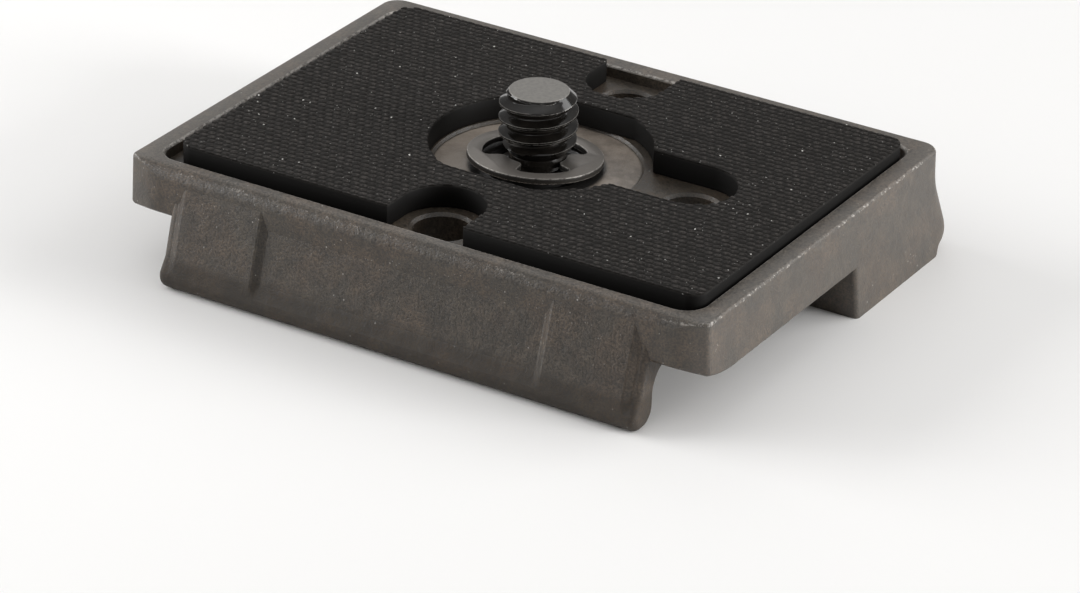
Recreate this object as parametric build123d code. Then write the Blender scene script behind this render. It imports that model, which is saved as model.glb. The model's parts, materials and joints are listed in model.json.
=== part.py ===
"""Quick release plate for a tripod head: a casting with a rubber grip pad and a captive camera screw.

The frame: X along the plate, Y across it with the front wall at -Y, Z up.
The origin is on the floor under the screw's axis.
"""

import math
import os

from build123d import *

# Plate, in mm
plate_length = 52.5
top_width = 39.0
foot_width = 43.0  # across both flared walls at their widest
plate_height = 9.6  # floor to the top of the rim
slab_depth = 5.2  # top of the rim to the lower edge of the slab
corner_radius = 1.6
front_corner_length = 2.6  # the front corners are taken off flat: along the front
front_corner_depth = 0.9  # and along the end
front_corner_radius = 3.5  # that flat into the front
front_corner_edge = 0.5  # that flat into the end
rim_width = 1.8
seat_depth = 1.05  # top of the rim to the floor that the pad is glued to
recess_corner_radius = 1.8
end_edge_radius = 0.3  # outer top edge of the rim
inner_edge = 0.2
front_edge_radius = 1.2  # the front rim is worn rounder than the others
slab_lower_radius = 0.4
end_draft = 2.2  # degrees; both ends widen towards the floor
front_sweep = 5.0  # the slab's lower front edge sweeps up over this length
front_sweep_rise = 1.2
underside_depth = 1.6  # hollow in the slab's lower face
underside_margin = 3.4  # slab edge left standing round that hollow
underside_corner_radius = 4.0

# Dish and holes in the plate
dish_radius = 8.4
dish_depth = 0.28  # below the pad's seat
dish_edge = 0.2
screw_hole_radius = 4.0
pin_hole_radius = 2.35
pin_inset = 3.6  # recess wall to the middle of a side hole
hole_edge = 0.25

# Front wall
wall_end_inset = 4.4  # plate's end to the wall's end
flank_drop = 1.3  # top of the rim to where the raised pads leave the slab's front face
flank_cover = 0.4  # the wall reaches this far further up, inside the slab
raised_pad_margin = 0.1  # foot of a raised pad's ramp to the rounding of the wall's end
raised_pad_length = 7.05
raised_pad_height = 0.4
raised_pad_ramp = 0.75
ramp_steps = 4  # the ramps are rounded at both ends
lip_flat = 0.12  # the lip along the foot stands level with the raised pads
lip_ramp = 1.1
wall_foot_radius = 1.1
wall_inner_radius = 1.6
wall_foot_thickness = 3.0
wall_root_radius = 2.0
wall_end_radius = 0.6

# Back wall with its two end feet
back_neck_drop = 2.9  # top of the rim to where the flare leaves the slab's back face
back_neck_radius = 4.0
foot_front = 5.35  # front face of the end feet at the floor
foot_front_draft = 0.5
foot_length = 4.7  # along X
back_wall_thickness = 4.1
back_foot_radius = 2.1
back_foot_cut = 0.2  # the floor cuts that rounding off short
foot_edge_radius = 0.4
cavity_corner_radius = 2.5

# Grip pad
pad_side_gap = 0.95  # pad to the recess wall
pad_left_gap = 1.25  # the pad lies nearer to the right end than to the left
pad_right_gap = 0.15
pad_thickness = 2.05
pad_corner_radius = 1.3
pad_hole_margin = 0.6  # round the dish
pad_hole_shift = 0.3
pad_hole_flat = 0.9  # cut off the round hole at the front and the back
pad_slot_margin = 1.3  # round the end hole
pad_notch_margin = 1.1  # round a side hole

# Retaining ring
ring_radius = 5.5
ring_thickness = 0.5
ring_lift = 0.65  # middle of the ring's lower face above the dish
ring_tilt = 4.3  # degrees; the ring is loose on the screw and leans back
ring_tilt_direction = -5.0  # degrees from X to the line that it leans about
ring_shift = 0.15  # middle of the ring off the screw's axis
ring_shift_direction = 210.0  # degrees from X
lug_clearance = 0.22
lobe_count = 3
lobe_turn = 71.0  # degrees from X to the middle of a lobe
lobe_radius = 4.25
lobe_half_angle = 33.0
lobe_corner_radius = 0.5
lug_corner_radius = 0.6

# Camera screw
thread_radius = 3.175  # 1/4 inch
thread_reach = 5.35  # above the rim
thread_flat_radius = 2.4
thread_chamfer_height = 0.75
runout_height = 1.1
neck_radius = 2.3
neck_play = 0.3  # above and below the ring
shank_radius = 3.0
head_radius = 7.4
head_thickness = 3.0
head_gap = 1.1  # head to the ceiling of the hollow above it
head_edge = 0.4
coin_slot_width = 1.6
coin_slot_depth = 1.0

# Folding wire ring
wire_radius = 0.9
wire_hole_clearance = 0.07
wire_loop_gap = 0.7  # head to the wire beside it
wire_leg = 1.0  # straight part of the loop beside the pivot
wire_bend_radius = 1.3
wire_pin_depth = 2.0  # into the head
wire_pin_end_gap = 0.3

# Levels and places that follow
seat_level = plate_height - seat_depth
dish_level = seat_level - dish_depth
slab_level = plate_height - slab_depth
ceiling_level = slab_level + underside_depth
half_top = top_width / 2
half_length = plate_length / 2
ring_level = dish_level + ring_lift
head_top = ceiling_level - head_gap
pivot_level = head_top - head_thickness / 2
wire_loop_radius = head_radius + wire_loop_gap + wire_radius
pin_circle_radius = half_top - rim_width - pin_inset
hair = 0.01  # closer than this counts as the same place
fillet_share = 0.9  # a fillet takes no more than this of the wall beside it
pin_places = ((pin_circle_radius, 0), (0, pin_circle_radius), (0, -pin_circle_radius))


def near(shape, *points):
    """The vertices of a flat shape that lie at these points."""
    return [shape.vertices().sort_by_distance(Vector(*p))[0] for p in points]


def flank_lean(top, level, radius):
    """How far a flared wall leans, in radians, from its top at this place to its rounded foot."""
    across = foot_width / 2 - radius - top
    down = level - radius
    return math.atan2(across, down) + math.asin(radius / math.hypot(across, down))


def drafted(bottom, top, width):
    """A block between two levels whose ends lean with the casting's draft."""
    lean = math.tan(math.radians(end_draft))
    low = half_length + (plate_height - bottom) * lean
    high = half_length + (plate_height - top) * lean
    outline = Polyline((-low, bottom), (low, bottom), (high, top), (-high, top), close=True)
    return extrude(Plane.XZ * make_face(outline), width / 2, both=True)


def along_front(section, level):
    """A section drawn from the slab's front face and this level, run along the whole plate."""
    place = Plane(origin=(0, -half_top, level), x_dir=(0, 1, 0), z_dir=(1, 0, 0))
    return extrude(place * section, plate_length, both=True)


def front_corner(side):
    """What a flat takes off the slab's front corner at this end, -1 for the left and 1 for the right."""
    start = half_length - front_corner_length
    past_end = half_length + front_corner_length
    outline = Polyline(
        (side * start, -half_top),
        (side * past_end, 2 * front_corner_depth - half_top),
        (side * past_end, -half_top),
        close=True,
    )
    return Pos(0, 0, slab_level) * extrude(make_face(outline), slab_depth, dir=(0, 0, 1))


def slab():
    """The rimmed slab, before its walls are added."""
    block = drafted(slab_level, plate_height, top_width)
    middle = slab_level + slab_depth / 2
    for side in (-1, 1):
        block -= front_corner(side)
    bands = (
        (half_top - hair, half_top + hair, corner_radius),
        (hair - half_top, 0, front_corner_edge),
        (-half_top - hair, hair - half_top, front_corner_radius),
    )
    for low, high, radius in bands:
        upright = [
            edge
            for edge in block.edges()
            if abs(edge.center().Z - middle) < hair and low < edge.center().Y < high
        ]
        block = fillet(upright, radius)
    sweep_radius = (front_sweep**2 + front_sweep_rise**2) / (2 * front_sweep_rise)
    under = Rectangle(front_sweep, front_sweep_rise, align=(Align.MIN, Align.MIN))
    block -= along_front(under - Pos(front_sweep, sweep_radius) * Circle(sweep_radius), slab_level)
    corner = Rectangle(front_edge_radius, front_edge_radius, align=(Align.MIN, Align.MAX))
    round_off = corner - Pos(front_edge_radius, -front_edge_radius) * Circle(front_edge_radius)
    sweep_start = front_sweep - half_top
    lower = [
        edge
        for edge in block.edges()
        if edge.bounding_box().max.Z < middle and abs(edge.center().Y - sweep_start) > hair
    ]
    block = fillet(lower, slab_lower_radius)
    block = fillet(block.edges().group_by(Axis.Z)[-1], end_edge_radius)
    return block - along_front(round_off, plate_height)


def front_section(x, sink):
    """Section of the front wall at x, its flank sunk below the raised pads by this much."""
    level = plate_height - flank_drop
    lean = flank_lean(half_top, level, wall_foot_radius)
    sunk = sink / math.cos(lean)

    def flank(z, inset=0.0):
        return (-half_top - (level - z) * math.tan(lean) + inset, z)

    lip_top = wall_foot_radius * (1 + math.sin(lean)) + lip_flat
    foot_inner = -foot_width / 2 + wall_foot_thickness
    root = foot_inner + wall_root_radius
    points = [
        flank(level + flank_cover, sunk),
        flank(lip_top + lip_ramp, sunk),
        flank(lip_top),
        flank(0),
        (foot_inner, 0),
        (foot_inner, slab_level),
        (root + wall_inner_radius, slab_level),
        (root + wall_inner_radius, ceiling_level),
    ]
    face = make_face(Polyline(*points, close=True))
    face = fillet(near(face, points[3]), wall_foot_radius)
    face = fillet(near(face, points[4]), wall_inner_radius)
    root_wall = slab_level - wall_inner_radius
    face = fillet(near(face, points[5]), min(wall_root_radius, fillet_share * root_wall))
    return Plane(origin=(x, 0, 0), x_dir=(0, 1, 0), z_dir=(1, 0, 0)) * face


def front_wall():
    """The flared front wall, with a raised pad at each end and a sunk middle."""
    end = half_length - wall_end_inset
    outer = end - wall_end_radius - raised_pad_margin - raised_pad_ramp
    inner = outer - raised_pad_length
    half = []
    for step in range(ramp_steps + 1):
        share = step / ramp_steps
        sink = raised_pad_height * (1 - share**2 * (3 - 2 * share))
        half.append((inner - (1 - share) * raised_pad_ramp, sink))
        half.append((outer + (1 - share) * raised_pad_ramp, sink))
    half = sorted(half) + [(end, raised_pad_height)]
    stations = [(-x, sink) for x, sink in reversed(half)] + half
    wall = loft([front_section(x, sink) for x, sink in stations], ruled=True)
    ends = wall.faces().filter_by(Axis.X)
    rims = [edge for face in (ends.sort_by(Axis.X)[0], ends.sort_by(Axis.X)[-1]) for edge in face.edges()]
    return fillet(rims, wall_end_radius)


def back_wall():
    """The flared back wall and the two end feet, flush with the slab's ends."""
    neck = plate_height - back_neck_drop
    lean = flank_lean(half_top, neck + back_foot_cut, back_foot_radius)
    neck_wall = (seat_level - neck) / max(abs(math.tan(lean / 2)), hair)
    front_top = foot_front - foot_front_draft
    points = [
        (foot_front, -back_foot_cut),
        (half_top + (neck + back_foot_cut) * math.tan(lean), -back_foot_cut),
        (half_top, neck),
        (half_top, seat_level),
        (front_top, seat_level),
        (front_top, slab_level),
    ]
    face = make_face(Polyline(*points, close=True))
    face = fillet(near(face, points[1]), back_foot_radius)
    face = fillet(near(face, points[2]), min(back_neck_radius, fillet_share * neck_wall))
    place = Plane(origin=(0, 0, 0), x_dir=(0, 1, 0), z_dir=(1, 0, 0))
    block = extrude(place * face, plate_length, both=True) & drafted(0, seat_level, 2 * foot_width)
    middle = (foot_front + half_top) / 2
    for side, radius in ((1, corner_radius), (-1, foot_edge_radius)):
        upright = [
            edge
            for edge in block.edges()
            if abs(edge.center().X) > half_length - hair
            and side * (edge.center().Y - middle) > 0
            and edge.bounding_box().size.Z > hair
        ]
        block = fillet(upright, radius)
    return block


def back_cavity():
    """The space between the end feet, open towards the front wall."""
    inner = foot_width / 2 - back_wall_thickness
    depth = inner - foot_front + foot_front_draft + cavity_corner_radius
    length = plate_length - 2 * foot_length
    to_front = (Align.CENTER, Align.MAX)
    outline = RectangleRounded(length, depth, cavity_corner_radius, align=to_front)
    return Pos(0, inner, 0) * extrude(outline, slab_level)


def underside_hollow():
    """The shallow hollow in the slab's lower face, over the screw's head."""
    front = -foot_width / 2 + wall_foot_thickness + wall_root_radius
    back = foot_width / 2 - back_wall_thickness
    length = plate_length - 2 * underside_margin
    to_front = (Align.CENTER, Align.MAX)
    outline = RectangleRounded(length, back - front, underside_corner_radius, align=to_front)
    return Pos(0, back, slab_level) * extrude(outline, underside_depth)


def hole(radius, bottom, mouth, edge):
    """A round hole down to this level, with a small chamfer at its mouth."""
    upright = (Align.CENTER, Align.CENTER, Align.MIN)
    bore = Pos(0, 0, bottom) * Cylinder(radius, mouth - bottom, align=upright)
    flare = Pos(0, 0, mouth - edge) * Cone(radius, radius + edge, edge, align=upright)
    return bore + flare


def plate_body():
    """The casting: slab, walls and feet, less the recess, the dish, the holes and the hollows below."""
    body = slab() + front_wall() + back_wall()
    body -= back_cavity()
    body -= underside_hollow()
    recess = RectangleRounded(plate_length - 2 * rim_width, top_width - 2 * rim_width, recess_corner_radius)
    body -= Pos(0, 0, seat_level) * extrude(recess, seat_depth)
    body -= hole(dish_radius, dish_level, seat_level, dish_edge)
    body -= hole(screw_hole_radius, 0, dish_level, hole_edge)
    for x, y in pin_places:
        body -= Pos(x, y, 0) * hole(pin_hole_radius, 0, seat_level, hole_edge)
    rim_inner = [
        edge
        for edge in body.edges()
        if abs(edge.center().Z - plate_height) < hair
        and abs(edge.center().X) < half_length - rim_width + hair
        and abs(edge.center().Y) < half_top - rim_width + hair
    ]
    return chamfer(rim_inner, inner_edge)


def grip_pad():
    """The rubber pad: a rounded sheet with a keyhole round the screw and a notch over each side hole."""
    length = plate_length - 2 * rim_width - pad_left_gap - pad_right_gap
    width = top_width - 2 * (rim_width + pad_side_gap)
    sheet = Pos((pad_left_gap - pad_right_gap) / 2, 0) * RectangleRounded(length, width, pad_corner_radius)
    radius = dish_radius + pad_hole_margin
    opening = Circle(radius) & Rectangle(2 * radius, 2 * (radius - pad_hole_flat))
    opening = Pos(pad_hole_shift, 0) * opening
    slot_radius = pin_hole_radius + pad_slot_margin
    slot = Pos(pin_circle_radius, 0) * Circle(slot_radius)
    slot += Rectangle(pin_circle_radius, 2 * slot_radius, align=(Align.MIN, Align.CENTER))
    notch_radius = pin_hole_radius + pad_notch_margin
    notch = Circle(notch_radius) + Rectangle(2 * notch_radius, width / 2, align=(Align.CENTER, Align.MIN))
    notch = Pos(0, pin_circle_radius) * notch
    face = sheet - opening - slot - notch - Rot(0, 0, 180) * notch
    return Pos(0, 0, seat_level) * extrude(face, pad_thickness)


def retaining_ring():
    """The stamped ring: lugs reach in to the screw's neck between open lobes."""
    lug_radius = neck_radius + lug_clearance
    reach = 2 * lobe_radius
    half = math.radians(lobe_half_angle)
    corner = (reach * math.cos(half), reach * math.sin(half))
    wedge = make_face(Polyline((0, 0), corner, (corner[0], -corner[1]), close=True))
    lobe = (Circle(lobe_radius) & wedge) - Circle(lug_radius / 2)
    tip = (lobe_radius * math.cos(half), lobe_radius * math.sin(half))
    lobe = fillet(near(lobe, tip, (tip[0], -tip[1])), lobe_corner_radius)
    face = Circle(ring_radius) - Circle(lug_radius)
    for turn in range(lobe_count):
        face -= Rot(0, 0, lobe_turn + turn * 360 / lobe_count) * lobe
    tips = [vertex for vertex in face.vertices() if abs(Vector(vertex).length - lug_radius) < hair]
    lug_half = lug_radius * math.sin(math.pi / lobe_count - half)
    face = fillet(tips, min(lug_corner_radius, fillet_share * lug_half))
    middle = ring_thickness / 2
    stamping = extrude(face, middle, both=True)
    lean = Rot(0, 0, ring_tilt_direction) * Rot(-ring_tilt, 0, 0) * Rot(0, 0, -ring_tilt_direction)
    shift = math.radians(ring_shift_direction)
    place = Pos(ring_shift * math.cos(shift), ring_shift * math.sin(shift), ring_level + middle)
    return place * lean * stamping


def camera_screw():
    """The turned screw: threaded end, neck for the ring, shank, and head with coin slot and pivot holes."""
    top = plate_height + thread_reach
    neck_top = ring_level + ring_thickness + neck_play
    neck_bottom = ring_level - neck_play
    head_bottom = head_top - head_thickness
    outline = Polyline(
        (0, head_bottom),
        (head_radius, head_bottom),
        (head_radius, head_top),
        (shank_radius, head_top),
        (shank_radius, neck_bottom),
        (neck_radius, neck_bottom),
        (neck_radius, neck_top),
        (thread_radius, neck_top + runout_height),
        (thread_radius, top - thread_chamfer_height),
        (thread_flat_radius, top),
        (0, top),
        close=True,
    )
    face = make_face(outline)
    face = chamfer(near(face, (head_radius, head_bottom), (head_radius, head_top)), head_edge)
    screw = revolve(Plane.XZ * face, Axis.Z)
    upright = (Align.CENTER, Align.CENTER, Align.MIN)
    slot = Box(coin_slot_width, 2 * head_radius, coin_slot_depth, align=upright)
    screw -= Pos(0, 0, head_bottom) * slot
    depth = wire_pin_depth + wire_pin_end_gap
    for side in (-1, 1):
        place = Plane(origin=(side * head_radius, 0, pivot_level), z_dir=(-side, 0, 0))
        screw -= extrude(place * Circle(wire_radius + wire_hole_clearance), depth)
    return screw


def d_ring():
    """The folding wire ring, lying flat round the head: two inward pins, short legs and a half circle."""
    pin_end = head_radius - wire_pin_depth
    bend_start = wire_loop_radius - wire_bend_radius
    leg_end = -wire_bend_radius - wire_leg
    path = [Line((pin_end, 0), (bend_start, 0))]
    path.append(JernArc((bend_start, 0), (1, 0), wire_bend_radius, -90))
    path.append(Line((wire_loop_radius, -wire_bend_radius), (wire_loop_radius, leg_end)))
    path.append(JernArc((wire_loop_radius, leg_end), (0, -1), wire_loop_radius, -180))
    path.append(Line((-wire_loop_radius, leg_end), (-wire_loop_radius, -wire_bend_radius)))
    path.append(JernArc((-wire_loop_radius, -wire_bend_radius), (0, 1), wire_bend_radius, -90))
    path.append(Line((-bend_start, 0), (-pin_end, 0)))
    section = Plane(origin=(pin_end, 0, 0), z_dir=(1, 0, 0)) * Circle(wire_radius)
    return Pos(0, 0, pivot_level) * sweep(section, path=Wire(path))


if __name__ == "__main__":
    os.makedirs("parts", exist_ok=True)
    for make in (plate_body, grip_pad, retaining_ring, camera_screw, d_ring):
        export_step(make(), f"parts/{make.__name__}.step")
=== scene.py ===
"""Looks of a tripod quick release plate, laid out as a Blender add-on and run as a script.

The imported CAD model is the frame: metres, X along the plate, -Y towards the front wall, Z up.
"""

import json
import math

import bmesh
import bpy
from bpy.props import FloatProperty, FloatVectorProperty, IntProperty, PointerProperty
from mathutils import Matrix, Vector


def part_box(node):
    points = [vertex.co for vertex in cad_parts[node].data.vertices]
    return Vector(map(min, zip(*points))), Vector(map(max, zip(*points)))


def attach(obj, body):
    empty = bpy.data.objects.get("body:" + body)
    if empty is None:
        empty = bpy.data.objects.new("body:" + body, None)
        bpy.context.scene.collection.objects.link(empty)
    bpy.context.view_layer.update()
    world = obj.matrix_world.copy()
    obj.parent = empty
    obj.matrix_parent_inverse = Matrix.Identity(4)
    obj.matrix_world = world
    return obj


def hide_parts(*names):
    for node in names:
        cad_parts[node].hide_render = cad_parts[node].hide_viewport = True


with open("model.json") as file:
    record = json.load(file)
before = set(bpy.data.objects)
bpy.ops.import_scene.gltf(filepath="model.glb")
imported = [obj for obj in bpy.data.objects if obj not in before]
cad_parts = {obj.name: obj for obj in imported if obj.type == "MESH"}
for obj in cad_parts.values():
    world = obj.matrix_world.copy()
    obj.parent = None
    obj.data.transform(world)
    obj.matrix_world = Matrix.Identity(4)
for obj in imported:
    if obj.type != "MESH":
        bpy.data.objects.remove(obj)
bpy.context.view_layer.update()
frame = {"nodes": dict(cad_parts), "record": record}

bl_info = {
    "name": "Quick Release Plate",
    "version": (1, 0, 0),
    "blender": (4, 5, 0),
    "location": "3D View > Sidebar > Plate",
    "description": "Dresses the packed quick release plate and sets up its studio",
    "category": "Object",
}

MM = 0.001
HAIR = 0.01 * MM  # levels closer than this count as one
MERGE_DISTANCE = 0.001 * MM
SMOOTH_ANGLE = math.radians(35)  # edges sharper than this stay sharp
WEAVE_SMOOTH_ANGLE = math.radians(50)
BEVEL_ANGLE = math.radians(40)


# Sizes and colours that a user would change


def length(name, description, millimetres):
    """A length property, given in millimetres and kept in metres."""
    return FloatProperty(
        name=name,
        description=description,
        default=millimetres * MM,
        precision=6,
        subtype="DISTANCE",
        unit="LENGTH",
    )


def share(name, description, default):
    """A property from 0 to 1."""
    return FloatProperty(
        name=name, description=description, default=default, min=0, max=1, subtype="FACTOR"
    )


def number(name, description, default, least=0):
    """A plain number, from the least value up."""
    return FloatProperty(name=name, description=description, default=default, min=least)


def power(name, description, watts):
    """A lamp's power property."""
    return FloatProperty(name=name, description=description, default=watts, unit="POWER")


def colour(name, description, default):
    """A linear colour property."""
    return FloatVectorProperty(
        name=name, description=description, default=default, min=0, max=1, size=3, subtype="COLOR"
    )


class PlateSizes(bpy.types.PropertyGroup):
    """Sizes of what the solids leave out: the pad's weave, the thread and the broken edges."""

    weave_along: length("Weave along", "From one bump of the pad to the next along a row", 0.757)
    weave_across: length("Weave across", "From one row of bumps to the next", 0.633)
    weave_height: length("Weave height", "How far the bumps stand out of the sheet", 0.11)
    weave_overlap: number("Weave overlap", "Length of a bump, as a share of the pitch", 1.3, 0.5)
    weave_seed: IntProperty(
        name="Weave seed", description="Seed of the bumps' small differences", default=7
    )
    pad_edge: length("Pad edge", "Rounding of the sheet's upper edge", 0.1)
    thread_pitch: length("Thread pitch", "From crest to crest: twenty turns to the inch", 1.27)
    thread_depth: length("Thread depth", "Crest to root", 0.66)
    thread_start: share("Thread start", "Share of a turn by which the thread is turned", 0.6735)
    thread_tip: length("Tip radius", "Radius of the flat end", 2.4)
    thread_tip_slope: length("Tip chamfer", "Height of the chamfer at the end", 0.75)
    runout: length("Run-out", "Height in which the thread fades into the neck", 1.1)
    neck_radius: length("Neck radius", "Radius of the neck below the thread", 2.3)
    neck_top: length("Neck top", "Height of the neck's upper end over the floor", 9.72)
    screw_edge: length("Screw edge", "Rounding of the edges of the screw's head", 0.12)
    ring_edge: length("Ring edge", "Rounding of the stamped ring's edges", 0.07)
    recess_length: length("Recess length", "Inside of the rim, along the plate", 48.9)
    recess_width: length("Recess width", "Inside of the rim, across the plate", 35.4)
    recess_corner: length("Recess corner", "Radius of the recess's corners", 1.8)


class PlateColours(bpy.types.PropertyGroup):
    """Colours of the finishes and of the studio."""

    cast_grey: colour("Casting grey", "Main colour of the casting", (0.041, 0.032, 0.0225))
    cast_brown: colour("Casting brown", "Brown patches of the casting", (0.051, 0.0362, 0.0238))
    # Painted shade under the ring, round the screw's hole
    cast_painted_shade: colour("Casting grease", "Grease round the screw's hole", (0.008, 0.007, 0.006))
    cast_bare: colour("Casting bare", "Floor of the dish, rubbed by the ring", (0.33, 0.28, 0.235))
    # Also the colour of painted glints and of the painted light on the plate's ends
    cast_worn_and_glint: colour("Casting worn", "Bare metal where edges are worn", (0.6, 0.57, 0.53))
    rubber: colour("Rubber", "The grip pad", (0.012, 0.0107, 0.0095))
    # Lighter tops of the pad's bumps: partly wear, partly a painted highlight
    rubber_worn_and_highlight: colour("Rubber worn", "Tops of the pad's bumps", (0.06, 0.0535, 0.049))
    dust: colour("Dust", "Specks of dust on the pad", (0.62, 0.61, 0.58))
    ring: colour("Ring", "The stamped ring", (0.2, 0.183, 0.165))
    screw: colour("Screw", "The blackened screw", (0.011, 0.0095, 0.008))
    # Also the colour of painted glints on the thread's crests
    screw_worn_and_glint: colour("Screw worn", "The scratched end of the screw", (0.3, 0.285, 0.26))
    wire: colour("Wire", "The folding wire ring", (0.5, 0.49, 0.47))
    floor: colour("Floor", "The studio's floor", (0.86, 0.852, 0.842))


class PlateStudio(bpy.types.PropertyGroup):
    """Strengths of the studio's lights."""

    horizon: number("Horizon", "Light of the sky all round", 0.17)
    dome_strength: number("Dome", "Light that the dome adds at its brightest", 0.74)
    dome_focus: number("Dome focus", "How narrow the bright part is", 3.0, 1)
    dome_from: FloatVectorProperty(
        name="Dome from",
        description="Where the sky is brightest",
        default=(0.0, 0.0, 1.0),
        size=3,
        subtype="DIRECTION",
    )
    front_power: power("Front lamp", "Low lamp at the left front", 0.33)
    left_power: power("Left lamp", "Low lamp on the left", 0.78)
    right_power: power("Right lamp", "Low lamp on the right", 1.9)
    rear_power: power("Rear lamp", "High lamp behind on the right", 2.9)
    back_power: power("Back lamp", "High lamp behind on the left", 0.75)


def sizes():
    """The sizes in use."""
    return bpy.context.scene.plate_sizes


def colours():
    """The colours in use."""
    return bpy.context.scene.plate_colours


def studio():
    """The studio's lights in use."""
    return bpy.context.scene.plate_studio


def thread_radius():
    """Radius of the screw's thread at its crests."""
    mounts = {mount["name"]: mount for mount in frame["record"]["mounts"]}
    return mounts["camera_thread"]["dims"]["r_mm"] * MM


# Node trees


class Nodes:
    """Builds a node tree: each call adds a node, fills its sockets and returns it."""

    def __init__(self, tree):
        self.tree = tree

    def fill(self, socket, value):
        """Links the socket to a node's first output or to an output, or else sets its value."""
        if isinstance(value, bpy.types.Node):
            value = value.outputs[0]
        if isinstance(value, bpy.types.NodeSocket):
            self.tree.links.new(value, socket)
        else:
            socket.default_value = value

    def add(self, kind, *values, settings=None, **named):
        """A node of this kind, with its first sockets filled by place and others by name."""
        node = self.tree.nodes.new(kind)
        for key, value in (settings or {}).items():
            setattr(node, key, value)
        for place, value in enumerate(values):
            self.fill(node.inputs[place], value)
        for name, value in named.items():
            self.fill(node.inputs[name.replace("_", " ")], value)
        return node

    def math(self, operation, *values):
        """A Math node."""
        return self.add("ShaderNodeMath", *values, settings={"operation": operation})

    def product(self, first, *others):
        """Several values multiplied, in this order."""
        for other in others:
            first = self.math("MULTIPLY", first, other)
        return first

    def scaled(self, value, times, plus):
        """The value times one number plus another."""
        return self.math("MULTIPLY_ADD", value, times, plus)

    def vector(self, operation, *values):
        """A Vector Math node."""
        return self.add("ShaderNodeVectorMath", *values, settings={"operation": operation})

    def axes(self, vector):
        """A vector's X, Y and Z."""
        return self.add("ShaderNodeSeparateXYZ", vector).outputs[:3]


# Materials


def opaque(rgb, brightness=1.0):
    """A colour made darker or lighter, with full alpha."""
    return (*[brightness * channel for channel in rgb], 1.0)


class Finish(Nodes):
    """A new material, with its surface shader and its place in Object coordinates.

    Sizes and distances are given in millimetres, apart from those of ramp.
    """

    def __init__(self, name):
        self.material = bpy.data.materials.new(name)
        self.material.use_nodes = True
        super().__init__(self.material.node_tree)
        self.surface = self.tree.nodes["Principled BSDF"]
        self.place = self.add("ShaderNodeTexCoord").outputs["Object"]

    def set(self, **values):
        """Fills the surface shader's sockets by name."""
        for name, value in values.items():
            self.fill(self.surface.inputs[name.replace("_", " ")], value)

    def noise(self, size, detail=3.0, roughness=0.55):
        """Noise from 0 to 1 whose features are about this long."""
        scale = 1 / (size * MM)
        node = self.add(
            "ShaderNodeTexNoise", Vector=self.place, Scale=scale, Detail=detail, Roughness=roughness
        )
        return node.outputs["Fac"]

    def ramp(self, value, low, high):
        """The value stretched so that low becomes 0 and high becomes 1, eased at both ends."""
        settings = {"interpolation_type": "SMOOTHSTEP"}
        node = self.add("ShaderNodeMapRange", value, low, high, 0.0, 1.0, settings=settings)
        return node.outputs["Result"]

    def fade(self, distance, start, full):
        """A mask that is 0 at the start and 1 where it is full."""
        return self.ramp(distance, start * MM, full * MM)

    def mix(self, share_of_second, first, second, blend="MIX"):
        """Two colours mixed by a share; a Mix node's colours come after its numbers and vectors."""
        node = self.add("ShaderNodeMix", settings={"data_type": "RGBA", "blend_type": blend})
        for socket, value in ((0, share_of_second), (6, first), (7, second)):
            self.fill(node.inputs[socket], value)
        return node.outputs[2]

    def specks(self, spacing, radius, kept, place=None):
        """A mask of small round specks, at this spacing, of which only a share is kept."""
        where = self.place if place is None else place
        cells = self.add("ShaderNodeTexVoronoi", Vector=where, Scale=1 / (spacing * MM))
        near = self.math("LESS_THAN", cells.outputs["Distance"], radius / spacing)
        pick = self.add("ShaderNodeSeparateColor", cells.outputs["Color"])
        return self.product(near, self.math("LESS_THAN", pick.outputs["Red"], kept))

    def worn_edges(self, radius, low, high):
        """A mask of edges, inner ones too: where a rounded normal departs from the surface's own."""
        rounded = self.add("ShaderNodeBevel", Radius=radius * MM, settings={"samples": 4})
        own = self.add("ShaderNodeNewGeometry").outputs["Normal"]
        same = self.vector("DOT_PRODUCT", rounded, own).outputs["Value"]
        return self.ramp(self.math("SUBTRACT", 1.0, same), low, high)

    def facing_up(self):
        """How far the surface faces up: 1 on a level top, 0 on an upright side."""
        return self.axes(self.add("ShaderNodeNewGeometry").outputs["Normal"])[2]

    def level_length(self, vector):
        """The length of a vector seen from above: for the place, its distance from the screw's axis."""
        return self.vector("LENGTH", self.vector("MULTIPLY", vector, (1.0, 1.0, 0.0))).outputs["Value"]

    def bump(self, height, strength, distance):
        """A normal roughened by a height from 0 to 1."""
        return self.add("ShaderNodeBump", Strength=strength, Distance=distance * MM, Height=height)


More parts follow.
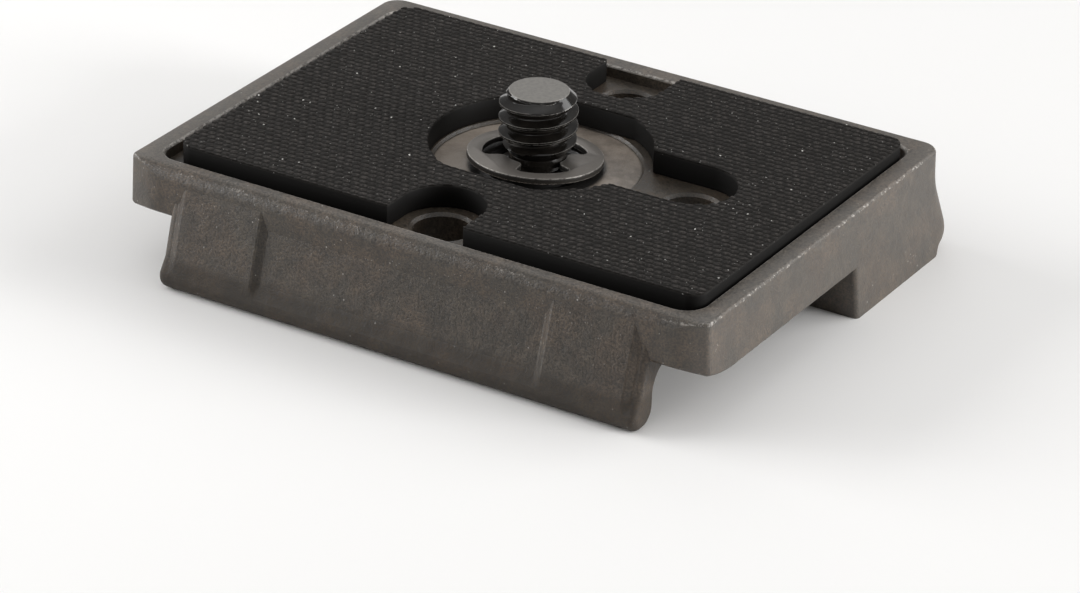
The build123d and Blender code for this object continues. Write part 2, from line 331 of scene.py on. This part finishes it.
class CastMetal(Finish):
    """Dark die casting: mottled grey and brown, grained and pitted, bare where it is rubbed."""

    def __init__(self):
        super().__init__("cast_metal")
        self.look = colours()
        self.x, self.y, self.z = self.axes(self.place)
        self.up = self.facing_up()
        self.grain = self.noise(0.17, detail=2, roughness=0.7)
        self.strong_grain = self.ramp(self.grain, 0.32, 0.68)
        self.cloud = self.ramp(self.noise(1.5), 0.3, 0.7)
        self.pits = self.specks(spacing=0.8, radius=0.08, kept=0.12)
        self.at_end = self.fade(self.math("ABSOLUTE", self.x), start=24.0, full=26.0)
        self.on_front = self.fade(self.y, start=-14.0, full=-16.0)
        # Band along the foot of the front wall, darkened as painted shade and also made rougher
        self.foot_painted_shade = self.product(self.fade(self.z, start=3.4, full=2.2), self.on_front)

    def mottled(self):
        """Grey with brown patches, uneven by its grain, with dark pits and bright flecks."""
        look = self.look
        patches = self.ramp(self.noise(4.5, detail=4, roughness=0.6), 0.42, 0.6)
        base = self.mix(patches, opaque(look.cast_grey), opaque(look.cast_brown))
        by_grain = self.scaled(self.strong_grain, times=1.1, plus=0.45)
        tint = self.product(by_grain, self.scaled(self.cloud, times=0.45, plus=0.77))
        base = self.mix(1.0, base, self.add("ShaderNodeCombineColor", tint, tint, tint), "MULTIPLY")
        base = self.mix(self.product(self.pits, 0.6), base, opaque(look.cast_grey, 0.3))
        gathered = self.ramp(self.noise(2.5, roughness=0.6), 0.42, 0.62)
        flecks = self.product(self.specks(spacing=0.45, radius=0.07, kept=0.12), gathered, 0.4)
        return self.mix(flecks, base, opaque(look.cast_worn_and_glint))

    def with_walls(self, base):
        """Adds painted glints along the front wall's bend, painted shade at its foot and painted light
        that makes the ends slightly paler.
        """
        look = self.look
        # Painted glints: bright specks along the bend under the rim, where light catches it
        from_below = self.fade(self.z, start=6.3, full=7.2)
        from_above = self.fade(self.z, start=8.5, full=7.8)
        bend = self.product(from_below, from_above, self.on_front, self.cloud)
        glints = self.product(self.specks(spacing=0.28, radius=0.05, kept=0.3), bend, 0.3)
        base = self.mix(glints, base, opaque(look.cast_worn_and_glint))
        # Painted shade: the foot of the front wall darkened towards dark brown
        base = self.mix(self.product(self.foot_painted_shade, 0.4), base, opaque(look.cast_brown, 0.3))
        # Painted light: the ends of the plate slightly paler
        return self.mix(self.product(self.at_end, 0.045), base, opaque(look.cast_worn_and_glint))

    def with_dish(self, base):
        """Adds the dish's level floor, rubbed bare, with painted light making it paler on the left, and
        painted shade round the hole under the ring.
        """
        from_axis = self.level_length(self.place)
        below_seat = self.fade(self.z, start=8.5, full=8.3)
        level = self.ramp(self.up, 0.75, 0.95)
        in_dish = self.product(self.fade(from_axis, start=8.5, full=8.2), below_seat, level)
        # Painted light: the bare floor made paler towards the left
        painted_light_left = self.scaled(self.fade(self.x, start=1.0, full=-5.0), times=0.35, plus=0.5)
        bare = self.product(in_dish, self.scaled(self.cloud, times=0.4, plus=painted_light_left))
        base = self.mix(bare, base, opaque(self.look.cast_bare))
        # Painted shade: the floor round the hole darkened where the ring shades it
        at_hole = self.fade(from_axis, start=5.8, full=5.3)
        painted_shade_at_hole = self.product(at_hole, self.fade(self.z, start=4.5, full=5.0), below_seat)
        return self.mix(painted_shade_at_hole, base, opaque(self.look.cast_painted_shade))

    def with_polish(self, base):
        """Adds a slight polish on the rim's top."""
        by_grain = self.scaled(self.strong_grain, times=0.08, plus=0.03)
        polished = self.product(self.fade(self.z, start=9.4, full=9.58), by_grain)
        return self.mix(polished, base, opaque(self.look.cast_worn_and_glint))

    def worn_rim(self):
        """A mask of the rim's rounded edges, rubbed in stretches, more at the ends than at the back."""
        turned = self.product(self.up, self.math("SUBTRACT", 1.0, self.up))
        edge = self.product(self.ramp(turned, 0.08, 0.2), self.fade(self.z, start=9.1, full=9.4))
        stretches = self.scaled(self.noise(5.0, detail=2), times=0.5, plus=-0.25)
        rub = self.scaled(self.at_end, times=0.08, plus=stretches)
        rub = self.math("ADD", rub, self.noise(0.3, detail=4, roughness=0.7))
        rub = self.scaled(self.fade(self.y, start=-6.0, full=6.0), times=-0.06, plus=rub)
        return self.product(edge, self.ramp(rub, 0.56, 0.66))

    def worn_line(self):
        """A mask of a broken line along the recess's outline, a rectangle with round corners."""
        size = sizes()
        corner = size.recess_corner
        straight = (size.recess_length / 2 - corner, size.recess_width / 2 - corner, 0.0)
        past = self.vector("SUBTRACT", self.vector("ABSOLUTE", self.place), straight)
        past = self.vector("MAXIMUM", past, (0.0, 0.0, 0.0))
        off_line = self.math("ABSOLUTE", self.math("SUBTRACT", self.level_length(past), corner))
        on_line = self.fade(off_line, start=0.3, full=0.15)
        broken = self.ramp(self.noise(0.35, detail=4, roughness=0.7), 0.38, 0.56)
        return self.product(on_line, self.fade(self.z, start=9.4, full=9.55), broken)


def cast_metal():
    """The casting's material."""
    cast = CastMetal()
    base = cast.with_polish(cast.with_dish(cast.with_walls(cast.mottled())))
    wear = cast.math("MAXIMUM", cast.worn_rim(), cast.product(cast.worn_line(), 0.9))
    rough = cast.scaled(cast.strong_grain, times=0.2, plus=0.38)
    lumps = cast.product(cast.noise(0.9), 2.0)
    skin = cast.scaled(cast.pits, times=-0.5, plus=cast.math("ADD", cast.grain, lumps))
    cast.set(
        Base_Color=cast.mix(cast.product(wear, 0.55), base, opaque(cast.look.cast_worn_and_glint)),
        Metallic=cast.product(wear, 0.6),
        Specular_IOR_Level=0.65,
        # Rougher along the foot band that is painted darker
        Roughness=cast.scaled(cast.foot_painted_shade, times=0.3, plus=rough),
        Normal=cast.bump(skin, strength=0.6, distance=0.06),
    )
    return cast.material


def dust_specks(finish, cloud):
    """A mask of fine and coarse dust, its specks torn out of round and the coarse ones gathered."""
    drift = finish.add(
        "ShaderNodeTexNoise", Vector=finish.place, Scale=1 / (0.12 * MM), Detail=1.0
    )
    either_way = finish.vector("SUBTRACT", drift.outputs["Color"], (0.5, 0.5, 0.5))
    reach = 0.16 * MM
    astray = finish.vector("MULTIPLY_ADD", either_way, (reach, reach, reach), finish.place)
    fine = finish.specks(spacing=0.3, radius=0.045, kept=0.18, place=astray)
    coarse = finish.specks(spacing=0.7, radius=0.07, kept=0.2, place=astray)
    gathered = finish.product(coarse, finish.ramp(cloud, 0.35, 0.5))
    return finish.math("MAXIMUM", finish.product(fine, 0.4), finish.product(gathered, 0.9))


def grip_rubber():
    """Black rubber, greyer on the tops of its bumps, partly from wear and partly as a painted highlight,
    darker on its sides as painted shade, with a sprinkling of dust.
    """
    finish = Finish("grip_rubber")
    look = colours()
    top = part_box("grip_pad")[1].z
    height = finish.axes(finish.place)[2]
    cloud = finish.noise(5)
    fine = finish.noise(0.15, detail=2, roughness=0.7)
    # The bumps' tops lighter: partly wear, partly a painted highlight
    crest = finish.ramp(height, top - 0.8 * sizes().weave_height, top)
    blotches = finish.ramp(finish.noise(0.6, roughness=0.7), 0.35, 0.65)
    uneven = finish.scaled(blotches, times=0.95, plus=0.05)
    rub = finish.product(crest, finish.product(finish.ramp(fine, 0.38, 0.62), uneven))
    base = finish.mix(rub, opaque(look.rubber), opaque(look.rubber_worn_and_highlight))
    # Painted shade: the sheet's sides darker
    side_painted_shade = finish.ramp(height, top - 0.2 * MM, top - 0.32 * MM)
    base = finish.mix(side_painted_shade, base, opaque(look.rubber, 0.35))
    on_top = finish.ramp(height, top - 0.25 * MM, top - 0.2 * MM)
    dust = finish.product(dust_specks(finish, cloud), on_top)
    finish.set(
        Base_Color=finish.mix(dust, base, opaque(look.dust)),
        Specular_IOR_Level=0.15,
        Roughness=finish.scaled(cloud, times=0.2, plus=0.55),
        Normal=finish.bump(fine, strength=0.3, distance=0.02),
    )
    return finish.material


def stamped_steel():
    """Dark satin steel of the retaining ring, darker on its sides as painted shade and bright along its
    edges.
    """
    finish = Finish("stamped_steel")
    look = colours()
    grain = finish.noise(0.3, roughness=0.65)
    base = finish.mix(finish.noise(2.5), opaque(look.ring, 0.72), opaque(look.ring))
    # Painted shade: the ring's sides darker
    side_painted_shade = finish.ramp(finish.math("ABSOLUTE", finish.facing_up()), 0.6, 0.3)
    base = finish.mix(finish.product(side_painted_shade, 0.9), base, opaque(look.ring, 0.12))
    edges = finish.worn_edges(0.18, 0.006, 0.07)
    wear = finish.product(edges, finish.ramp(grain, 0.36, 0.54), 0.8)
    finish.set(
        Base_Color=finish.mix(wear, base, opaque(look.cast_worn_and_glint)),
        Metallic=0.6,
        Roughness=finish.scaled(grain, times=0.2, plus=0.35),
        Normal=finish.bump(grain, strength=0.2, distance=0.015),
    )
    return finish.material


def worn_and_glinting_crests(finish, height, top, grain):
    """A mask of the thread's crests and of the edge of the screw's end, broken by the grain: lightened
    partly as wear and partly as painted glints.
    """
    crest = thread_radius()
    from_axis = finish.level_length(finish.place)
    outer = finish.ramp(from_axis, crest - 0.22 * MM, crest - 0.1 * MM)
    round_end = finish.ramp(height, top - 0.3 * MM, top - 0.2 * MM)
    edges = finish.product(finish.worn_edges(0.09, 0.01, 0.12), finish.ramp(grain, 0.3, 0.5))
    return finish.product(edges, finish.math("MAXIMUM", outer, round_end))


def black_steel():
    """Blackened, oiled steel of the camera screw, scratched bare on its end, its crests lightened partly
    by wear and partly as painted glints, and dull below its neck.
    """
    finish = Finish("black_steel")
    look = colours()
    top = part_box("camera_screw")[1].z
    neck_top = sizes().neck_top
    height = finish.axes(finish.place)[2]
    grain = finish.noise(0.3, roughness=0.6)
    cloud = finish.ramp(finish.noise(1.2), 0.35, 0.65)
    base = finish.mix(cloud, opaque(look.screw, 0.5), opaque(look.screw))
    on_end = finish.ramp(height, top - 0.05 * MM, top - 0.01 * MM)
    scratches = finish.scaled(finish.ramp(grain, 0.3, 0.7), times=0.2, plus=0.45)
    # The crests' brightness: partly wear, partly painted glints
    crests = worn_and_glinting_crests(finish, height, top, grain)
    bare = finish.math("MAXIMUM", finish.product(on_end, scratches), finish.product(crests, 0.5))
    base = finish.mix(bare, base, opaque(look.screw_worn_and_glint))
    oiled = finish.scaled(grain, times=0.16, plus=0.04)
    below_ring = finish.ramp(height, neck_top - 1.0 * MM, neck_top - 1.5 * MM)
    dull = finish.math("MAXIMUM", finish.product(on_end, 0.28), finish.product(below_ring, 0.5))
    finish.set(
        Base_Color=finish.mix(finish.product(crests, 0.45), base, opaque(look.cast_worn_and_glint)),
        Metallic=finish.product(bare, 0.7),
        Specular_IOR_Level=0.5,
        Roughness=finish.math("ADD", dull, oiled),
        Normal=finish.bump(grain, strength=0.12, distance=0.01),
    )
    return finish.material


def bright_wire():
    """Plated steel wire, slightly and unevenly dulled."""
    finish = Finish("bright_wire")
    wire = colours().wire
    grain = finish.noise(0.4, roughness=0.65)
    finish.set(
        Base_Color=finish.mix(finish.ramp(grain, 0.3, 0.7), opaque(wire, 0.6), opaque(wire)),
        Metallic=1.0,
        Roughness=finish.scaled(grain, times=0.2, plus=0.2),
        Normal=finish.bump(grain, strength=0.15, distance=0.01),
    )
    return finish.material


# Meshes


def new_object(name, mesh):
    """An object with this mesh, in the scene."""
    made = bpy.data.objects.new(name, mesh)
    bpy.context.scene.collection.objects.link(made)
    return made


def merged_copy(node, name):
    """A new object with a CAD node's mesh, its loose triangles merged."""
    mesh = frame["nodes"][node].data.copy()
    mesh.name = name
    shape = bmesh.new()
    shape.from_mesh(mesh)
    bmesh.ops.remove_doubles(shape, verts=shape.verts, dist=MERGE_DISTANCE)
    flat = math.radians(0.5)
    bmesh.ops.dissolve_limit(shape, angle_limit=flat, verts=shape.verts, edges=shape.edges)
    shape.to_mesh(mesh)
    shape.free()
    for shading in ("custom_normal", "sharp_edge", "sharp_face"):
        if shading in mesh.attributes:
            mesh.attributes.remove(mesh.attributes[shading])
    return new_object(name, mesh)


def settle(piece, angle=SMOOTH_ANGLE):
    """Turns the piece's modifiers into its mesh and smooths it, with edges sharper than the angle kept."""
    evaluated = piece.evaluated_get(bpy.context.evaluated_depsgraph_get())
    mesh = bpy.data.meshes.new_from_object(evaluated)
    piece.modifiers.clear()
    piece.data = mesh
    mesh.name = piece.name
    shape = bmesh.new()
    shape.from_mesh(mesh)
    bmesh.ops.recalc_face_normals(shape, faces=shape.faces)
    shape.to_mesh(mesh)
    shape.free()
    mesh.polygons.foreach_set("use_smooth", [True] * len(mesh.polygons))
    mesh.set_sharp_from_angle(angle=angle)


def soften(piece, width):
    """Rounds the piece's sharp edges."""
    bevel = piece.modifiers.new("edges", "BEVEL")
    bevel.width = width
    bevel.segments = 2
    bevel.limit_method = "ANGLE"
    bevel.angle_limit = BEVEL_ANGLE


def coat(piece, material):
    """Gives the piece one material all over."""
    piece.data.materials.clear()
    piece.data.materials.append(material)


def dress(piece, body, node):
    """Makes the piece stand for a CAD node and ride on its body."""
    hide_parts(node)
    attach(piece, body)


def tree_with(name, **inputs):
    """A new Geometry Nodes tree with a geometry output and these inputs, each given as its socket type."""
    tree = bpy.data.node_groups.new(name, "GeometryNodeTree")
    for direction in ("INPUT", "OUTPUT"):
        tree.interface.new_socket("Geometry", in_out=direction, socket_type="NodeSocketGeometry")
    for label, kind in inputs.items():
        socket_type = "NodeSocket" + kind
        tree.interface.new_socket(label.replace("_", " "), in_out="INPUT", socket_type=socket_type)
    return tree


def run_tree(piece, tree, **values):
    """Adds the tree to the piece as a modifier, with its inputs set by their identifiers."""
    modifier = piece.modifiers.new(tree.name, "NODES")
    modifier.node_group = tree
    inputs = [item for item in tree.interface.items_tree if item.in_out == "INPUT"]
    identifiers = {item.name: item.identifier for item in inputs}
    for label, value in values.items():
        modifier[identifiers[label.replace("_", " ")]] = value


def end_tree(nodes, parts, material):
    """Ends a tree: its parts joined, instances made real, then the material."""
    joined = nodes.add("GeometryNodeJoinGeometry")
    for part in parts:
        nodes.tree.links.new(part, joined.inputs[0])
    real = nodes.add("GeometryNodeRealizeInstances", joined)
    finished = nodes.add("GeometryNodeSetMaterial", Geometry=real, Material=material)
    nodes.add("NodeGroupOutput", finished)


def nearest_on(nodes, sheet, place):
    """The nearest point on the sheet's faces to a place."""
    settings = {"target_element": "FACES"}
    return nodes.add("GeometryNodeProximity", Geometry=sheet, Sample_Position=place, settings=settings)


def drawn_between(nodes, low, high, seed):
    """A random number for each bump."""
    node = nodes.add("FunctionNodeRandomValue", settings={"data_type": "FLOAT"}, Seed=seed)
    limits = [socket for socket in node.inputs if socket.type == "VALUE"]
    limits[0].default_value = low
    limits[1].default_value = high
    return next(socket for socket in node.outputs if socket.type == "VALUE")


def weave_rows(nodes, given, sheet_top, extent):
    """Points in staggered rows over the sheet's whole box, at the level of its top."""
    spare_cells = 2.0
    off_tie = 0.25  # keeps a row at half a pitch from rounding either way
    counts = []
    spans = []
    for side, pitch in ((extent[0], given["Along"]), (extent[1], given["Across"])):
        cells = nodes.math("ADD", nodes.math("CEIL", nodes.math("DIVIDE", side, pitch)), spare_cells)
        counts.append(nodes.math("ADD", cells, 1.0))
        spans.append(nodes.product(cells, pitch))
    grid = nodes.add("GeometryNodeMeshGrid", *spans, *counts)
    across = nodes.axes(nodes.add("GeometryNodeInputPosition"))[1]
    row = nodes.math("ADD", nodes.math("DIVIDE", across, given["Across"]), off_tie)
    odd = nodes.math("FLOORED_MODULO", nodes.math("ROUND", row), 2.0)
    stagger = nodes.product(odd, 0.5, given["Along"])
    shift = nodes.add("ShaderNodeCombineXYZ", stagger, 0.0, sheet_top)
    return nodes.add("GeometryNodeSetPosition", Geometry=grid, Offset=shift)


def weave_tree():
    """Nodes that cover a sheet's top with staggered rows of small bumps, cut off at its outline."""
    tree = tree_with(
        "pad_weave",
        Along="Float",
        Across="Float",
        Height="Float",
        Overlap="Float",
        Seed="Int",
        Material="Material",
    )
    edge_reach = 0.35  # of the pitch: bumps whose middle is further off the sheet are left out
    shortest, longest = 0.9, 1.06
    nodes = Nodes(tree)
    given = nodes.add("NodeGroupInput").outputs
    sheet = given["Geometry"]
    box = nodes.add("GeometryNodeBoundBox", sheet)
    extent = nodes.axes(nodes.vector("SUBTRACT", box.outputs["Max"], box.outputs["Min"]))
    sheet_top = nodes.axes(box.outputs["Max"])[2]
    rows = weave_rows(nodes, given, sheet_top, extent)
    off_sheet = nearest_on(nodes, sheet, nodes.add("GeometryNodeInputPosition")).outputs["Distance"]
    chosen = nodes.math("LESS_THAN", off_sheet, nodes.product(given["Across"], edge_reach))
    ball = nodes.add("GeometryNodeMeshUVSphere", Segments=8, Rings=4, Radius=0.5)
    uneven = drawn_between(nodes, shortest, longest, given["Seed"])
    wide = nodes.product(given["Along"], given["Overlap"], uneven)
    tall = nodes.product(given["Height"], 2.0)
    bump_size = nodes.add("ShaderNodeCombineXYZ", wide, given["Across"], tall)
    bumps = nodes.add(
        "GeometryNodeInstanceOnPoints", Points=rows, Selection=chosen, Instance=ball, Scale=bump_size
    )
    real = nodes.add("GeometryNodeRealizeInstances", bumps)
    x, y, z = nodes.axes(nodes.add("GeometryNodeInputPosition"))
    level = nodes.add("ShaderNodeCombineXYZ", x, y, sheet_top)
    held = nodes.axes(nearest_on(nodes, sheet, level).outputs["Position"])
    cut_place = nodes.add("ShaderNodeCombineXYZ", held[0], held[1], z)
    cut = nodes.add("GeometryNodeSetPosition", Geometry=real, Position=cut_place)
    end_tree(nodes, (cut.outputs[0], sheet), given["Material"])
    return tree


def thread_profile(nodes, given, turn):
    """The thread's radius by its share of a turn: a narrow flat crest, straight flanks, a round root."""
    crest_flat = 1 / 16
    flank_slope = 1 / math.tan(math.radians(30))
    root_rounding = 0.25
    in_turn = nodes.math("FRACT", nodes.math("ADD", turn, 0.5))
    off_crest = nodes.math("ABSOLUTE", nodes.math("SUBTRACT", in_turn, 0.5))
    off_flat = nodes.product(nodes.math("SUBTRACT", off_crest, crest_flat), given["Pitch"])
    fall = nodes.math("MAXIMUM", nodes.product(off_flat, flank_slope), 0.0)
    fall = nodes.math("SMOOTH_MIN", fall, given["Depth"], nodes.product(given["Depth"], root_rounding))
    return nodes.math("SUBTRACT", given["Crest Radius"], fall)


def cone(nodes, from_end, start_radius, crest_radius, rise):
    """Radius of a cone that widens from its end to the crest over this rise."""
    widening = nodes.math("SUBTRACT", crest_radius, start_radius)
    return nodes.scaled(nodes.math("DIVIDE", from_end, rise), widening, start_radius)


def thread_tree():
    """Nodes that wrap a grid into a screw thread: rows climb with the helix, cut by a cone at each end."""
    tree = tree_with(
        "screw_thread",
        Around="Int",
        Rows_Per_Turn="Int",
        Turns="Int",
        Pitch="Float",
        Depth="Float",
        Start="Float",
        Crest_Radius="Float",
        Bottom="Float",
        Top="Float",
        Neck_Radius="Float",
        Runout="Float",
        Tip_Radius="Float",
        Tip_Slope="Float",
        Material="Material",
    )
    nodes = Nodes(tree)
    given = nodes.add("NodeGroupInput").outputs
    crest_radius = given["Crest Radius"]
    row_count = nodes.product(given["Rows Per Turn"], given["Turns"])
    columns = nodes.math("ADD", given["Around"], 1.0)
    rows = nodes.math("ADD", row_count, 1.0)
    grid = nodes.add("GeometryNodeMeshGrid", 1.0, 1.0, columns, rows)
    spot = nodes.axes(nodes.add("GeometryNodeInputPosition"))
    round_share = nodes.math("ADD", spot[0], 0.5)
    row_share = nodes.math("ADD", spot[1], 0.5)
    turn = nodes.product(row_share, given["Turns"])
    turns_below = 2.0
    first_turn = nodes.math("SUBTRACT", given["Start"], turns_below)
    climb = nodes.math("ADD", nodes.math("ADD", turn, round_share), first_turn)
    free_height = nodes.scaled(climb, given["Pitch"], given["Bottom"])
    height = nodes.math("MINIMUM", nodes.math("MAXIMUM", free_height, given["Bottom"]), given["Top"])
    from_bottom = nodes.math("SUBTRACT", height, given["Bottom"])
    from_top = nodes.math("SUBTRACT", given["Top"], height)
    thread = thread_profile(nodes, given, turn)
    lower = cone(nodes, from_bottom, given["Neck Radius"], crest_radius, given["Runout"])
    upper = cone(nodes, from_top, given["Tip Radius"], crest_radius, given["Tip Slope"])
    radius = nodes.math("MINIMUM", nodes.math("MINIMUM", thread, lower), upper)
    half_row = nodes.math("DIVIDE", 0.5, row_count)
    past_first = nodes.math("GREATER_THAN", row_share, half_row)
    before_last = nodes.math("LESS_THAN", row_share, nodes.math("SUBTRACT", 1.0, half_row))
    radius = nodes.product(radius, nodes.product(past_first, before_last))
    angle = nodes.product(round_share, math.tau)
    x = nodes.product(radius, nodes.math("COSINE", angle))
    y = nodes.product(radius, nodes.math("SINE", angle))
    place = nodes.add("ShaderNodeCombineXYZ", x, y, height)
    wrapped = nodes.add("GeometryNodeSetPosition", Geometry=grid, Position=place)
    closed = nodes.add("GeometryNodeMergeByDistance", Geometry=wrapped, Distance=MERGE_DISTANCE)
    end_tree(nodes, (closed.outputs[0], given["Geometry"]), given["Material"])
    return tree


# Studio

# Each lamp's place and width, in metres
LAMPS = {
    "front": ((-0.25, -0.18, 0.105), 0.14),
    "left": ((-0.35, -0.084, 0.168), 0.21),
    "right": ((0.45, 0.1, 0.12), 0.2),
    "rear": ((0.6, 0.6, 0.5), 0.5),
    "back": ((-0.5, 0.6, 0.5), 0.5),
}


def studio_world():
    """A sky that is even all round and brightest in one part."""
    world = bpy.data.worlds.new("studio")
    world.use_nodes = True
    nodes = Nodes(world.node_tree)
    world.node_tree.nodes.clear()
    way = nodes.add("ShaderNodeTexCoord").outputs["Generated"]
    brightest = Vector(studio().dome_from).normalized()
    toward = nodes.vector("DOT_PRODUCT", way, brightest).outputs["Value"]
    glow = nodes.math("POWER", nodes.math("MAXIMUM", toward, 0.0), studio().dome_focus)
    strength = nodes.scaled(glow, studio().dome_strength, studio().horizon)
    sky = nodes.add("ShaderNodeBackground", Color=(1.0, 1.0, 1.0, 1.0), Strength=strength)
    nodes.add("ShaderNodeOutputWorld", sky)
    bpy.context.scene.world = world


def softbox(name, place, width, watts):
    """A square area lamp at a place, turned to the plate."""
    lamp = bpy.data.lights.new(name, "AREA")
    lamp.shape = "SQUARE"
    lamp.size = width
    lamp.energy = watts
    made = bpy.data.objects.new(name, lamp)
    made.location = place
    made.rotation_euler = (-Vector(place)).to_track_quat("-Z", "Y").to_euler()
    made.visible_camera = False
    bpy.context.scene.collection.objects.link(made)


def studio_floor():
    """A wide pale floor, a hair below the plate's feet."""
    material = bpy.data.materials.new("studio_floor")
    material.use_nodes = True
    surface = material.node_tree.nodes["Principled BSDF"].inputs
    surface["Base Color"].default_value = opaque(colours().floor)
    surface["Roughness"].default_value = 0.9
    surface["Specular IOR Level"].default_value = 0.1
    reach = 3.0
    corners = [(x * reach, y * reach, -HAIR) for x, y in ((-1, -1), (1, -1), (1, 1), (-1, 1))]
    mesh = bpy.data.meshes.new("studio_floor")
    mesh.from_pydata(corners, [], [(0, 1, 2, 3)])
    mesh.materials.append(material)
    new_object("studio_floor", mesh)


def photo_camera():
    """The camera at the photograph's place, with its long lens and slight roll."""
    azimuth = math.radians(30.4026)
    elevation = math.radians(26.8241)
    roll = math.radians(1.8941)
    aim = Vector((3.149, -4.206, -0.725)) * MM
    distance = 385.885
    camera = bpy.data.cameras.new("photo_camera")
    camera.lens = 161.62
    camera.sensor_width = 36.0
    camera.sensor_fit = "HORIZONTAL"
    camera.clip_start = 0.01
    level = math.cos(elevation)
    back = Vector((math.sin(azimuth) * level, -math.cos(azimuth) * level, math.sin(elevation)))
    turned = (-back).to_track_quat("-Z", "Y").to_matrix() @ Matrix.Rotation(roll, 3, "Z")
    made = bpy.data.objects.new("photo_camera", camera)
    made.rotation_euler = turned.to_euler()
    made.location = aim + back * distance * MM
    bpy.context.scene.collection.objects.link(made)
    bpy.context.scene.camera = made


# Operators


class PLATE_OT_cast_body(bpy.types.Operator):
    """Give the casting its mottled, worn finish"""

    bl_idname = "plate.cast_body"
    bl_label = "Cast Body"

    def execute(self, context):
        coat(frame["nodes"]["plate_body"], cast_metal())
        return {"FINISHED"}


class PLATE_OT_grip_pad(bpy.types.Operator):
    """Replace the plain pad with a rubber sheet that is covered in a fine weave"""

    bl_idname = "plate.grip_pad"
    bl_label = "Grip Pad"

    def execute(self, context):
        size = sizes()
        sheet = merged_copy("grip_pad", "grip_pad_rubber")
        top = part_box("grip_pad")[1].z
        for vertex in sheet.data.vertices:
            if vertex.co.z > top - HAIR:
                vertex.co.z -= size.weave_height
        soften(sheet, size.pad_edge)
        settle(sheet)
        run_tree(
            sheet,
            weave_tree(),
            Along=size.weave_along,
            Across=size.weave_across,
            Height=size.weave_height,
            Overlap=size.weave_overlap,
            Seed=size.weave_seed,
            Material=grip_rubber(),
        )
        settle(sheet, WEAVE_SMOOTH_ANGLE)
        dress(sheet, "plate", "grip_pad")
        return {"FINISHED"}


class PLATE_OT_retaining_ring(bpy.types.Operator):
    """Replace the plain ring with one whose stamped edges are slightly rounded"""

    bl_idname = "plate.retaining_ring"
    bl_label = "Retaining Ring"

    def execute(self, context):
        ring = merged_copy("retaining_ring", "retaining_ring_stamped")
        coat(ring, stamped_steel())
        soften(ring, sizes().ring_edge)
        settle(ring)
        dress(ring, "retainer", "retaining_ring")
        return {"FINISHED"}


class PLATE_OT_camera_screw(bpy.types.Operator):
    """Replace the plain screw with one that has its thread"""

    bl_idname = "plate.camera_screw"
    bl_label = "Camera Screw"

    def execute(self, context):
        size = sizes()
        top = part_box("camera_screw")[1].z
        screw = merged_copy("camera_screw", "camera_screw_threaded")
        shape = bmesh.new()
        shape.from_mesh(screw.data)
        above = [v for v in shape.verts if v.co.z > size.neck_top + HAIR]
        bmesh.ops.delete(shape, geom=above, context="VERTS")
        bmesh.ops.holes_fill(shape, edges=[e for e in shape.edges if e.is_boundary])
        shape.to_mesh(screw.data)
        shape.free()
        soften(screw, size.screw_edge)
        settle(screw)
        spare_turns = 3
        run_tree(
            screw,
            thread_tree(),
            Around=80,
            Rows_Per_Turn=16,
            Turns=math.ceil((top - size.neck_top) / size.thread_pitch) + spare_turns,
            Pitch=size.thread_pitch,
            Depth=size.thread_depth,
            Start=size.thread_start,
            Crest_Radius=thread_radius(),
            Bottom=size.neck_top,
            Top=top,
            Neck_Radius=size.neck_radius,
            Runout=size.runout,
            Tip_Radius=size.thread_tip,
            Tip_Slope=size.thread_tip_slope,
            Material=black_steel(),
        )
        settle(screw)
        dress(screw, "screw", "camera_screw")
        return {"FINISHED"}


class PLATE_OT_wire_ring(bpy.types.Operator):
    """Give the folding wire ring its plated finish"""

    bl_idname = "plate.wire_ring"
    bl_label = "Wire Ring"

    def execute(self, context):
        coat(frame["nodes"]["d_ring"], bright_wire())
        return {"FINISHED"}


class PLATE_OT_studio(bpy.types.Operator):
    """Set up the sky, the floor, the lamps and the photograph's camera"""

    bl_idname = "plate.studio"
    bl_label = "Studio"

    def execute(self, context):
        context.scene.view_settings.view_transform = "Standard"
        studio_world()
        studio_floor()
        for side, (place, width) in LAMPS.items():
            softbox(f"{side}_lamp", place, width, getattr(studio(), f"{side}_power"))
        photo_camera()
        return {"FINISHED"}


class PLATE_PT_panel(bpy.types.Panel):
    """The plate's pieces and its studio, in the sidebar"""

    bl_label = "Quick Release Plate"
    bl_idname = "PLATE_PT_panel"
    bl_space_type = "VIEW_3D"
    bl_region_type = "UI"
    bl_category = "Plate"

    def draw(self, context):
        for step in STEPS:
            self.layout.operator(step.bl_idname)
        for group in (sizes(), colours(), studio()):
            box = self.layout.box()
            for name in group.bl_rna.properties.keys():
                if name not in ("rna_type", "name"):
                    box.prop(group, name)


STEPS = (
    PLATE_OT_cast_body,
    PLATE_OT_grip_pad,
    PLATE_OT_retaining_ring,
    PLATE_OT_camera_screw,
    PLATE_OT_wire_ring,
    PLATE_OT_studio,
)
CLASSES = (PlateSizes, PlateColours, PlateStudio, *STEPS, PLATE_PT_panel)


def register():
    """Makes the classes and their properties known to Blender."""
    for made in CLASSES:
        bpy.utils.register_class(made)
    bpy.types.Scene.plate_sizes = PointerProperty(type=PlateSizes)
    bpy.types.Scene.plate_colours = PointerProperty(type=PlateColours)
    bpy.types.Scene.plate_studio = PointerProperty(type=PlateStudio)


def unregister():
    """Takes the properties and the classes out again."""
    del bpy.types.Scene.plate_sizes
    del bpy.types.Scene.plate_colours
    del bpy.types.Scene.plate_studio
    for made in reversed(CLASSES):
        bpy.utils.unregister_class(made)


def main():
    """Builds every piece and the studio."""
    register()
    bpy.ops.plate.cast_body()
    bpy.ops.plate.grip_pad()
    bpy.ops.plate.retaining_ring()
    bpy.ops.plate.camera_screw()
    bpy.ops.plate.wire_ring()
    bpy.ops.plate.studio()


if __name__ == "__main__":
    main()
